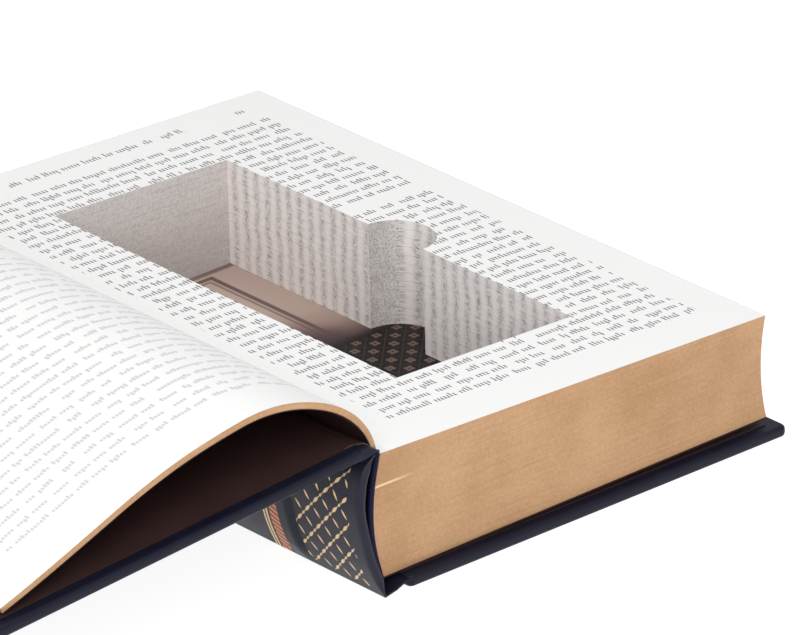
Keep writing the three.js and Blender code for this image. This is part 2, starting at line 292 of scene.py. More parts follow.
@dataclass(frozen=True)
class Leather:
    """Dyed calf leather with a fine grain and a soft sheen."""

    dark: Colour = (0.0050, 0.0055, 0.0130)
    light: Colour = (0.0110, 0.0118, 0.0260)
    mottle: float = 90.0
    smooth: float = 0.36
    rougher: float = 0.16
    grain_size: float = 0.55 * MM
    grain_height: float = 0.03 * MM

    def build(self) -> Shader:
        """Makes the material.

        Returns:
            Its shader.
        """
        shader = Shader("leather", 0.42, Specular_IOR_Level=0.16)
        colour, rough, grain = self.skin(shader)
        shader.set("Base Color", colour)
        shader.set("Roughness", rough)
        shader.bump(grain, self.grain_height)
        return shader

    def skin(self, shader: Shader) -> tuple[Field, Field, Field]:
        """The bare leather, which other finishes lie on.

        Args:
            shader: The shader to build in.

        Returns:
            Its colour, its roughness and the height of its grain.
        """
        place = shader.place()
        mottle = shader.noise(place, self.mottle, 4.0)
        colour = shader.blend(mottle, self.dark, self.light)
        grain = 1 - shader.cells(place, 1 / self.grain_size)
        return colour, self.smooth + mottle * self.rougher, grain


@dataclass(frozen=True)
class Tooling:
    """Gold tooling on the spine, placed by its distances from the nearer end and from the top."""

    leather: Leather = Leather()
    length: float = BLOCK_LENGTH
    gold: Colour = (0.80, 0.58, 0.32)
    gold_deep: Colour = (0.60, 0.39, 0.22)
    orange: Colour = (0.64, 0.225, 0.10)
    orange_deep: Colour = (0.17, 0.055, 0.026)
    chain_start: float = 5.55 * MM
    chain_pitch: float = 8.4 * MM
    cross_start: float = 14.2 * MM
    cross_pitch: float = 11.65 * MM
    cross_slope: float = 1.5
    dash: tuple[float, float] = (0.54 * MM, 1.80 * MM)
    single: tuple[float, float] = (0.42 * MM, 1.85 * MM)
    dot: tuple[float, float] = (0.46 * MM, 0.62 * MM)
    thread: tuple[float, float] = (0.14 * MM, 0.30 * MM)
    thread_gold: float = 0.55
    panel: tuple[float, float] = (1.5 * MM, 26.6 * MM)
    reach: tuple[float, float] = (2.5 * MM, 47.0 * MM)
    fillet: tuple[float, float] = (35.2 * MM, 39.4 * MM)
    hatch_pitch: float = 2.0 * MM
    hatch_slant: float = 0.35
    rules: tuple[float, float] = (40.75 * MM, 42.1 * MM)
    rule_halves: tuple[float, float] = (0.34 * MM, 0.30 * MM)
    rule_fade: float = 0.16 * MM
    rule_bow: float = 0.08
    bow_middle: float = 40 * MM
    wear: float = 420.0
    metallic: float = 0.35
    polish: float = 0.06
    gold_sunk: float = 1.5
    orange_raised: float = 2.0

    def build(self) -> Shader:
        """Makes the material.

        Returns:
            Its shader.
        """
        shader = Shader("tooled_leather", 0.42, Specular_IOR_Level=0.26)
        skin, rough, grain = self.leather.skin(shader)
        along, down, outer = shader.split(shader.attribute("skin"))
        middle = self.length / 2
        end = middle - abs(along - middle)
        lattice = self._lattice(end, down)
        level = end - (down - self.bow_middle) * self.rule_bow
        rules = self._rules(level)
        hatch = self._hatch(level, down)
        gold = lattice.most(rules) * (outer > 0.5)
        orange = self._within(level, self.fillet) * (outer > 0.5)
        dye = shader.blend(hatch, self.orange_deep, self.orange)
        wear = shader.noise(shader.place(), self.wear, 3.0)
        leaf = shader.blend(wear, self.gold_deep, self.gold)
        colour = shader.blend(orange, shader.blend(gold, skin, leaf), dye)
        shader.set("Base Color", colour)
        shader.set("Metallic", gold * self.metallic)
        shader.set("Roughness", rough - gold * self.polish)
        height = grain - gold * self.gold_sunk + orange * hatch * self.orange_raised
        shader.bump(height, self.leather.grain_height)
        return shader

    def _within(self, value: Field, span: tuple[float, float]) -> Field:
        """1 where a value is inside a span, else 0."""
        return (value > span[0]) * (value < span[1])

    def _lattice(self, end: Field, down: Field) -> Field:
        """Diagonal chains of dashes and dots, crossed by single dashes.

        Args:
            end: Distance from the nearer end of the spine.
            down: Distance from its top.

        Returns:
            A mask that is 1 where there is gold.
        """
        chain = (down - end - self.chain_start) / self.chain_pitch
        cross = (down + end * self.cross_slope - self.cross_start) / self.cross_pitch
        off_chain = chain.off_whole() * self.chain_pitch
        off_cross = cross.off_whole() * self.cross_pitch
        turn = 1 + self.cross_slope
        tilt = math.hypot(1, self.cross_slope)
        beside_chain, beside_cross = off_chain / math.sqrt(2), off_cross / tilt
        up_chain = (self.cross_pitch / 2 - off_cross) * (math.sqrt(2) / turn)
        up_cross = (self.chain_pitch / 2 - off_chain) * (tilt / turn)
        dash = self._spindle(beside_chain, up_chain, self.dash)
        single = self._spindle(beside_cross, up_cross, self.single)
        dot = self._spindle(beside_chain, beside_cross, self.dot)
        thread = beside_chain.fall(*self.thread) * self.thread_gold
        lines = dot.most(dash, single, thread)
        return lines * self._within(end, self.panel) * self._within(down, self.reach)

    def _spindle(self, beside: Field, up: Field, half: Point) -> Field:
        """A mark with pointed ends, of a half width and length, by the way from its middle."""
        along = up / half[1]
        return (beside / half[0] + along * along).fall(0.82, 1.12)

    def _rules(self, end: Field) -> Field:
        """Two thin straight lines.

        Args:
            end: Distance from the nearer end of the spine.

        Returns:
            A mask that is 1 where there is gold.
        """
        pairs = zip(self.rules, self.rule_halves)
        one, two = (abs(end - at).fall(half, half + self.rule_fade) for at, half in pairs)
        return one.most(two)

    def _hatch(self, end: Field, down: Field) -> Field:
        """A band of slanting strokes, 1 in the middle of each."""
        slant = (down + end * self.hatch_slant) / self.hatch_pitch
        return slant.off_whole().fall(0.12, 0.40)


@dataclass(frozen=True)
class Endpaper:
    """Dark coated paper, faintly mottled."""

    dark: Colour = (0.024, 0.0098, 0.0092)
    light: Colour = (0.050, 0.0235, 0.0225)
    cloud: float = 60.0
    fibre: float = 900.0
    fibre_height: float = 0.02 * MM

    def build(self) -> Shader:
        """Makes the material.

        Returns:
            Its shader.
        """
        shader = Shader("endpaper", 0.6, Specular_IOR_Level=0.3)
        place = shader.place()
        cloud = shader.noise(place, self.cloud, 5.0)
        shader.set("Base Color", shader.blend(cloud, self.dark, self.light))
        shader.bump(shader.noise(place, self.fibre), self.fibre_height)
        return shader


@dataclass(frozen=True)
class CutPaper:
    """Bare paper without print: the raw edge of a dark sheet, where its pale core shows."""

    dark: Colour = (0.060, 0.045, 0.038)
    light: Colour = (0.150, 0.115, 0.095)
    fibre: float = 300.0

    def build(self, name: str) -> Shader:
        """Makes the material.

        Args:
            name: The material's name.

        Returns:
            Its shader.
        """
        shader = Shader(name, 0.7, Specular_IOR_Level=0.3)
        fibre = shader.noise(shader.place(), self.fibre)
        shader.set("Base Color", shader.blend(fibre, self.dark, self.light))
        return shader


@dataclass(frozen=True)
class Print:
    """Where the print on a page stands, in metres from its gutter and from its tail."""

    left: float = 16.9 * MM
    right: float = 136.0 * MM
    first_row: float = 16.9 * MM
    last_row: float = 208.5 * MM
    pitch: float = 5.0 * MM
    header_row: float = 216.6 * MM
    header: tuple[float, float] = (41 * MM, 109 * MM)
    number: tuple[float, float] = (130.2 * MM, 133.4 * MM)
    letter: float = 1.18 * MM
    word: float = 6.2
    word_gap: float = 0.21
    low_height: float = 0.88 * MM
    high_height: float = 1.40 * MM
    short_share: float = 0.1
    short_by: float = 42 * MM
    ragged: float = 1.0 * MM
    rising_share: float = 0.24
    hanging_share: float = 0.08
    tie: tuple[float, float] = (0.08 * MM, 0.22 * MM)

    def ink(self, shader: Shader, across: Field, up: Field, sharp: float = 1.0) -> Field:
        """Rows of strokes in the shape of text that spell nothing.

        Args:
            shader: The shader to build in.
            across: Distance from the gutter.
            up: Distance from the tail edge.
            sharp: How clearly the strokes stand apart: 0 leaves only soft words.

        Returns:
            A mask that is 1 where there is ink.
        """
        row = (up - self.first_row) / self.pitch
        number = row.whole()
        text = self._words(shader, across, (row - number) * self.pitch, number, sharp)
        inside = (up > self.first_row - self.pitch / 2) * (up < self.last_row)
        last = 1 - self.short_share
        short = self._chance(shader, number, 7.7).step(last, last + 0.01)
        ragged = self._chance(shader, number, 3.1) * self.ragged + short * self.short_by
        sides = (across > self.left) * (across < self.right - ragged)
        head = self._words(shader, across, up - self.header_row, 91.0, sharp)
        title = (across > self.header[0]) * (across < self.header[1])
        folio = (across > self.number[0]) * (across < self.number[1])
        above = (up > self.last_row + 3 * MM) * (title + folio)
        return text * inside * sides + head * above

    def _chance(self, shader: Shader, x: Number, y: Number) -> Field:
        """A random number from 0 to 1 for a pair of numbers."""
        inputs = {"Vector": shader.join(x, y)}
        return shader.node("TexWhiteNoise", {"noise_dimensions": "2D"}, inputs, "Value")

    def _words(self, shader: Shader, across: Field, off: Field, row: Number,
               sharp: float) -> Field:
        """One row of letters: strokes of two heights, with gaps between the words.

        Args:
            shader: The shader to build in.
            across: Distance from the gutter.
            off: Distance from the middle of the row, upwards.
            row: The row's number.
            sharp: How clearly the strokes stand apart.

        Returns:
            A mask that is 1 where there is ink.
        """
        shift = self._chance(shader, row, 1.3) * 9.0
        place = across / self.letter + shift
        cell = place.floor()
        within = abs(place - cell - 0.5)
        kind = self._chance(shader, cell, row)
        jitter = shader.noise(shader.join(cell * 0.25, row * 2.7), 1.0, 0.0)
        slot = (cell + 0.5) / self.word + jitter * 0.8
        gap = (slot - slot.floor()) < self.word_gap
        high = kind > 1 - self.rising_share
        low = kind < self.hanging_share
        body = self.low_height + (high + low) * (self.high_height - self.low_height)
        centre = off - (high - low) * (self.high_height - self.low_height)
        tall = abs(centre).fall(body - 0.1 * MM, body + 0.1 * MM)
        stroke = tall * within.fall(0.09, 0.27)
        side = self._chance(shader, cell + 0.37, row + 0.61)
        top, foot = side < 0.34, side > 0.68
        level = (top - foot) * (self.low_height - 0.12 * MM)
        tie = abs(off - level).fall(*self.tie) * (top + foot)
        fill = stroke.most(tie * 0.7)
        soft = tall * 0.5
        return (fill * sharp + soft * (1 - sharp)) * (1 - gap)


@dataclass(frozen=True)
class Paper:
    """White book paper, printed in rows, with gilt on the outside edges of the block."""

    white: Colour = (0.905, 0.900, 0.895)
    ink: Colour = (0.045, 0.045, 0.05)
    cut: Colour = (0.90, 0.855, 0.835)
    # Painted shade: the colour of the cut walls low in the compartment.
    cut_low: Colour = (0.86, 0.81, 0.785)
    # Painted shade on the end walls of the compartment.
    cut_shade: Colour = (0.38, 0.34, 0.32)
    cut_ink: Colour = (0.23, 0.205, 0.205)
    gold_dark: Colour = (0.385, 0.212, 0.100)
    gold_light: Colour = (0.530, 0.325, 0.178)
    gold_pale: Colour = (0.72, 0.53, 0.29)
    streak: float = 33.3 * MM
    streak_end: float = -50 * MM
    # Glue on the block's spine side; also painted shade on the bowed leaves' edges in the gutter.
    glue: Colour = (0.035, 0.028, 0.022)
    cut_end: float = 70 * MM
    notch_half: float = 30 * MM
    # Heights over which the painted shade on the walls fades out upwards.
    wall: tuple[float, float] = (8 * MM, 38 * MM)
    sway: float = 2.6 * MM
    ragged: float = 0.26
    ink_faint: float = 0.11
    ink_grain: float = 0.58
    end_ink: float = 0.5
    # How deep the painted shade on the end walls is, and how much it lifts near their top.
    end_shade: float = 0.70
    end_lit: float = 0.38
    # Partly print, partly painted shade: the darkness of the steep faces of the notch.
    notch_ink: float = 1.2
    notch_faint: float = 0.18
    notch_grain: float = 0.30
    line_ink: float = 0.12
    metallic: float = 0.35
    leaf_height: float = 0.04 * MM
    printing: Print = Print()

    def build(self) -> Shader:
        """Makes the material of the cut block.

        Returns:
            Its shader.
        """
        shader = Shader("pages", 0.6, Specular_IOR_Level=0.3)
        place = shader.place()
        x, y, z = shader.split(place)
        side, front, up = shader.split(shader.facing())
        across, along = x + BLOCK_HALF_WIDTH, y + BLOCK_HALF
        top = up > 0.9
        glued = (side < -0.2) * (x < 1.5 * MM - BLOCK_HALF_WIDTH)
        outside = self._outside(x, y)
        page = shader.blend(self.printing.ink(shader, across, along), self.white, self.ink)
        wall = self._wall(shader, across, along, z, front)
        gilt, shine = self.gilt(shader, place)
        edges = shader.blend(outside, wall, gilt)
        shader.set("Base Color", shader.blend(glued, shader.blend(top, edges, page), self.glue))
        gilded = outside * (1 - top)
        shader.set("Metallic", gilded * self.metallic)
        shader.set("Roughness", 0.62 - gilded * shine)
        leaves = shader.noise(shader.join(x * 4.0, y * 4.0, z * 2600.0))
        shader.bump(leaves * (1 - top), self.leaf_height)
        return shader

    def _outside(self, x: Field, y: Field) -> Field:
        """1 on the head, tail and fore-edge of the block, 0 in its compartment."""
        ends = abs(y) > BLOCK_HALF - 0.5 * MM
        return ends + (1 - ends) * (x > BLOCK_HALF_WIDTH - 6 * MM)

    def _wall(self, shader: Shader, across: Field, along: Field, z: Field, front: Field) -> Field:
        """The cut walls: the rows of print, cut through, show as ragged dark streaks. Painted
        shade darkens the walls towards the compartment's floor, and more on its end walls and on
        the steep faces of its notch.

        Args:
            shader: The shader to build in.
            across: Distance from the block's spine edge.
            along: Distance from its tail.
            z: Height.
            front: How far the wall faces along the book.

        Returns:
            The walls' colour.
        """
        sway = (shader.noise(shader.join(along * 40.0, z * 150.0)) - 0.5) * self.sway
        slant, rise = (along + across - z) * 1900.0, (along + across + z) * 620.0
        speck = shader.noise(shader.join(slant, rise, across * 300.0), 1.0, 1.0)
        row = (along + sway - self.printing.first_row) / self.printing.pitch
        offset = row.off_whole() + (speck - 0.5) * self.ragged
        band = offset.fall(0.02, 0.46)
        from_middle = abs(along - BLOCK_HALF)
        ends = (abs(front) > 0.8) * (from_middle > self.cut_end)
        lines = shader.noise(shader.join(across * 60.0, along * 60.0, z * 3200.0))
        depth = z.step(*self.wall)
        # Painted shade over print: the steep faces of the notch are darkened as a whole.
        steep = abs(front).step(0.55, 0.88) * (from_middle < self.notch_half)
        fine = shader.noise(shader.join(across * 2600.0, along * 500.0, z * 1500.0), 1.0, 1.0)
        grain = (speck + (fine - speck) * steep).step(0.40, 0.66)
        # text: the print on the walls, with painted shade on the steep faces of the notch.
        text = band * (1 - ends) * (1 - steep) + ends * self.end_ink + steep * self.notch_ink
        contrast = self.ink_grain - steep * self.notch_grain
        print_and_shade = self.ink_faint + steep * self.notch_faint + grain * contrast
        dark = text * print_and_shade + lines.step(0.42, 0.72) * self.line_ink
        # Painted shade: the walls darken towards the compartment's floor.
        paper = shader.blend(depth, self.cut_low, self.cut)
        # Painted shade on the end walls, lighter towards their top.
        paper = shader.blend(ends * (self.end_shade - depth * self.end_lit), paper, self.cut_shade)
        return shader.blend(dark.least(1.0), paper, self.cut_ink)

    def gilt(self, shader: Shader, place: Field) -> tuple[Field, Field]:
        """The gilt edges, with the leaves' fine lines in the gold.

        Args:
            shader: The shader to build in.
            place: The point on the block.

        Returns:
            The gold's colour and its gloss.
        """
        x, y, z = shader.split(place)
        lines = shader.noise(shader.join(x * 18.0, y * 18.0, z * 2600.0))
        patches = shader.noise(place, 40.0, 4.0)
        grain = shader.noise(place, 900.0)
        tone = (lines * 0.26 + patches * 0.46 + grain * 0.28).step(0.32, 0.68)
        fade = (x + patches * 20 * MM).step(self.streak_end, self.streak_end - 14 * MM)
        streak = abs(z - self.streak).fall(0.2 * MM, 0.55 * MM) * fade
        gold = shader.blend(tone, self.gold_dark, self.gold_light)
        return shader.blend(streak, gold, self.gold_pale), 0.2 + patches * 0.1


@dataclass(frozen=True)
class FloorPrint:
    """A framed print in copper and brown on the floor of the compartment, dark at its tail end."""

    tan: Colour = (0.56, 0.435, 0.375)
    copper: Colour = (0.43, 0.315, 0.265)
    brown: Colour = (0.215, 0.130, 0.108)
    plum: Colour = (0.048, 0.034, 0.040)
    night: Colour = (0.0060, 0.0045, 0.0055)
    line: Colour = (0.095, 0.050, 0.052)
    rosette: Colour = (0.31, 0.195, 0.155)
    middle: float = -2.9 * MM
    half_width: float = 22.7 * MM
    half_length: float = 73.2 * MM
    picture_top: float = 9 * MM
    picture_low: float = -23.4 * MM
    lozenge: float = 8.0 * MM
    petal: float = 0.13
    petal_out: float = 0.17
    heart: float = 0.07

    def build(self) -> Shader:
        """Makes the material.

        Returns:
            Its shader.
        """
        shader = Shader("floor_print", 0.42, Specular_IOR_Level=0.2)
        place = shader.place()
        x, y, _ = shader.split(place)
        cloud = shader.noise(place, 34.0, 4.0)
        aside = abs(x - self.middle) - self.half_width
        side = aside.step(-8 * MM, 8 * MM)
        ground = shader.blend(side * 0.5 + cloud * 0.4, self.tan, self.copper)
        dusk = y + (cloud - 0.5) * 16 * MM + side * 10 * MM
        ground = shader.blend(dusk.step(48 * MM, 22 * MM), ground, self.brown)
        ground = shader.blend(dusk.step(38 * MM, 14 * MM), ground, self.plum)
        dark = y.step(self.picture_top + 6 * MM, self.picture_top)
        ground = shader.blend(dark, ground, self.night)
        seen = y.step(self.picture_top, self.picture_top + 20 * MM)
        ground = shader.blend(self._frame(x, y) * seen * 0.85, ground, self.line)
        ground = shader.blend(self._ornament(x, y), ground, self.rosette)
        shader.set("Base Color", ground)
        shader.bump(shader.noise(place, 1200.0, 2.0), 0.01 * MM)
        return shader

    def _frame(self, x: Field, y: Field) -> Field:
        """A broad and a thin ruled line round the print.

        Args:
            x: Place across the book.
            y: Place along it.

        Returns:
            A mask that is 1 on the lines.
        """
        across = abs(x - self.middle) - self.half_width
        up = abs(y) - self.half_length
        edge = across.most(up)
        outer = abs(edge).fall(0.6 * MM, 1.2 * MM)
        inner = abs(edge + 2.1 * MM).fall(0.3 * MM, 0.7 * MM)
        rim = up.step(1.8 * MM, 2.4 * MM) * 0.8
        return outer.most(inner * 0.7, rim)

    def _ornament(self, x: Field, y: Field) -> Field:
        """Rows of small copper rosettes in lozenges, over a thin rule.

        Args:
            x: Place across the book.
            y: Place along it.

        Returns:
            A mask of how much of the rosettes' colour there is.
        """
        u = (x - self.middle + y) / self.lozenge
        v = (x - self.middle - y) / self.lozenge
        near_u = u.off_whole()
        near_v = v.off_whole()
        line = (0.5 - near_u).least(0.5 - near_v).fall(0.012, 0.035)
        petal_u = self._spot(near_u - self.petal_out, near_v, self.petal)
        petal_v = self._spot(near_u, near_v - self.petal_out, self.petal)
        heart = self._spot(near_u, near_v, self.heart)
        rose = petal_u.most(petal_v) * (1 - heart)
        within = (y < self.picture_top) * (y > self.picture_low)
        rule = abs(y - self.picture_low).fall(0.35 * MM, 0.6 * MM)
        mark = (line * 0.16).most(rose * 0.5) * within
        return mark.most(rule * 0.8)

    def _spot(self, x: Field, y: Field, radius: float) -> Field:
        """A soft-edged round spot."""
        away = (x * x + y * y).root()
        return away.fall(radius - 0.02, radius + 0.02)


@dataclass(frozen=True)
class Board:
    """Black millboard with flecks."""

    dark: Colour = (0.020, 0.019, 0.018)
    light: Colour = (0.045, 0.042, 0.040)
    fleck: float = 700.0
    fleck_height: float = 0.04 * MM

    def build(self) -> Shader:
        """Makes the material.

        Returns:
            Its shader.
        """
        shader = Shader("board", 0.85)
        fleck = shader.noise(shader.place(), self.fleck, 4.0)
        shader.set("Base Color", shader.blend(fleck, self.dark, self.light))
        shader.bump(fleck, self.fleck_height)
        return shader


@dataclass(frozen=True)
class Weave:
    """Thread or cloth with a visible weave, in one colour and its shade."""

    dark: Colour
    light: Colour
    pitch: float
    thread_height: float = 0.06 * MM

    def build(self, name: str) -> Shader:
        """Makes the material.

        Args:
            name: The material's name.

        Returns:
            Its shader.
        """
        shader = Shader(name, 0.7, Specular_IOR_Level=0.25)
        x, y, z = shader.split(shader.place())
        turn = 2 * math.pi / self.pitch
        warp = (y * turn).sine()
        weft = ((x + z) * turn).sine()
        thread = warp * weft * 0.5 + 0.5
        shader.set("Base Color", shader.blend(thread, self.dark, self.light))
        shader.bump(thread, self.thread_height)
        return shader


# Shapes


def lift(x: float, z: float) -> Point:
    """Takes a point from the block's own frame, which leans back, to the part's frame."""
    cosine, sine = math.cos(LEAN), math.sin(LEAN)
    return BLOCK_X + x * cosine - z * sine, BLOCK_Z + x * sine + z * cosine


def raised(x: float, y: float, z: float) -> Spot:
    """The same for a point in space, whose Y stays."""
    px, pz = lift(x, z)
    return px, y, pz


def unit(angle: float) -> np.ndarray:
    """The direction at an angle in degrees from +X, upwards."""
    return np.array([math.cos(angle * DEGREE), math.sin(angle * DEGREE)])


def to_left(direction: np.ndarray) -> np.ndarray:
    """The direction turned a quarter to the left."""
    return np.array([-direction[1], direction[0]])


def make_mesh(name: str, points: np.ndarray, faces: list[tuple[int, ...]], shader: Shader,
              smooth: bool = True) -> bpy.types.Object:
    """A mesh object in the part's frame.

    Args:
        name: The piece's name.
        points: Its vertices, in metres.
        faces: The vertex numbers of each face.
        shader: What it is made of.
        smooth: Whether its faces are shaded smooth.

    Returns:
        The object.
    """
    mesh = bpy.data.meshes.new(name)
    mesh.from_pydata([tuple(point) for point in points], [], faces)
    mesh.polygons.foreach_set("use_smooth", [smooth] * len(faces))
    mesh.materials.append(shader.material)
    mesh.update()
    made = bpy.data.objects.new(name, mesh)
    bpy.context.scene.collection.objects.link(made)
    return made


def loft(name: str, rings: np.ndarray, shader: Shader) -> bpy.types.Object:
    """A closed body through rings of points.

    Args:
        name: The piece's name.
        rings: Points as an array of rings, points and coordinates.
        shader: What it is made of.

    Returns:
        The object, with smooth sides and sharp edges where they turn sharply.
    """
    count, sides, _ = rings.shape
    faces: list[tuple[int, ...]] = []
    for ring in range(count - 1):
        for side in range(sides):
            a = ring * sides + side
            b = ring * sides + (side + 1) % sides
            faces.append((a, b, b + sides, a + sides))
    faces.append(tuple(reversed(range(sides))))
    faces.append(tuple(range((count - 1) * sides, count * sides)))
    made = make_mesh(name, rings.reshape(-1, 3), faces, shader)
    made.data.set_sharp_from_angle(angle=SHARP_ANGLE)
    return made


def across_line(line: np.ndarray) -> np.ndarray:
    """The directions that stand square on a line, to its left.

    Args:
        line: Its points.

    Returns:
        A unit vector for each point.
    """
    tangents = np.gradient(line, axis=0)
    tangents /= np.linalg.norm(tangents, axis=1)[:, None]
    return np.stack([-tangents[:, 1], tangents[:, 0]], axis=1)


def strip(name: str, path: list[Point], thickness: float, half_length: float,
          shader: Shader) -> bpy.types.Object:
    """A sheet of even thickness along a path in the block's frame, from tail to head.

    Args:
        name: The piece's name.
        path: Its middle line, as x and z in metres in the block's frame.
        thickness: How thick the sheet is.
        half_length: Half its length along Y.
        shader: What it is made of.

    Returns:
        The object.
    """
    line = np.array([lift(x, z) for x, z in path])
    rings = []
    for point, normal in zip(line, across_line(line)):
        near, far = point - normal * thickness / 2, point + normal * thickness / 2
        rings.append([
            (near[0], -half_length, near[1]), (near[0], half_length, near[1]),
            (far[0], half_length, far[1]), (far[0], -half_length, far[1]),
        ])
    return loft(name, np.array(rings), shader)


def note(made: bpy.types.Object, name: str, values: np.ndarray) -> None:
    """Keeps a vector at each point of a mesh, which its material reads.

    Args:
        made: The object.
        name: The attribute's name.
        values: One row of three numbers for each point.
    """
    attribute = made.data.attributes.new(name, "FLOAT_VECTOR", "POINT")
    attribute.data.foreach_set("vector", values.astype(np.float32).ravel())


def curve(places: list[Point], count: int) -> list[Point]:
    """A smooth curve through places, as evenly spaced points.

    Args:
        places: The points that it passes through.
        count: How many points to give back.

    Returns:
        The points.
    """
    known = np.array(places, float)
    padded = np.vstack([known[0], known, known[-1]])
    dense = []
    for index in range(len(known) - 1):
        a, b, c, d = padded[index:index + 4]
        for t in np.linspace(0, 1, CURVE_STEPS, endpoint=False):
            dense.append(0.5 * (
                2 * b + (c - a) * t + (2 * a - 5 * b + 4 * c - d) * t ** 2
                + (3 * b - a - 3 * c + d) * t ** 3
            ))
    dense.append(known[-1])
    line = np.array(dense)
    lengths = np.concatenate([[0.0], np.cumsum(np.linalg.norm(np.diff(line, axis=0), axis=1))])
    marks = np.linspace(0, lengths[-1], count)
    return [(float(np.interp(m, lengths, line[:, 0])), float(np.interp(m, lengths, line[:, 1])))
            for m in marks]


def ease(share: float) -> float:
    """Rises smoothly from 0 to 1, and stays there beyond."""
    share = min(1.0, max(0.0, share))
    return share * share * (3 - 2 * share)


# Sub-assemblies


@dataclass
class Finishes:
    """Every finish of the book, made once."""

    leather: Shader
    tooled: Shader
    endpaper: Shader
    cut_paper: Shader
    blank_paper: Shader
    pages: Shader
    bowed_pages: Shader
    floor_print: Shader
    board: Shader
    cloth: Shader
    end_band: Shader

    @classmethod
    def make(cls) -> "Finishes":
        """Makes them.

        Returns:
            The finishes.
        """
        return cls(
            leather=Leather().build(),
            tooled=Tooling().build(),
            endpaper=Endpaper().build(),
            cut_paper=CutPaper().build("cut_paper"),
            blank_paper=CutPaper((0.80, 0.795, 0.79), (0.90, 0.895, 0.89)).build("blank_paper"),
            pages=Paper().build(),
            bowed_pages=BowedPaper().build(),
            floor_print=FloorPrint().build(),
            board=Board().build(),
            cloth=Weave((0.05, 0.042, 0.032), (0.10, 0.088, 0.07), 1.2 * MM).build("cloth"),
            end_band=Weave(
                (0.0015, 0.0018, 0.012), (0.004, 0.0045, 0.045), 0.8 * MM,
            ).build("end_band"),
        )


@dataclass
class CarriedOver:
    """The solids whose shape is right, which only get their finish."""

    finishes: Finishes

    def dress(self, nodes: dict[str, bpy.types.Object], record: dict) -> None:
        """Gives each node the finish of its slot.

        Args:
            nodes: The nodes by name.
            record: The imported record, which names each node's slot.
        """
        for part in record["subparts"]:
            node = nodes[part["node"]]
            shader = getattr(self.finishes, part["material_slot"])
            node.data.materials.clear()
            node.data.materials.append(shader.material)
            log.info("dressed %s in %s", part["node"], part["material_slot"])


@dataclass(frozen=True)
class Turn:
    """One part of the leaves: where it ends, its bodies, and the points of a bend between them
    that the pieces do not follow.

    The points are in millimetres in the block's frame, with the book open.
    """

    last: int
    first_body: Body
    second_body: Body
    start: Point
    end: Point


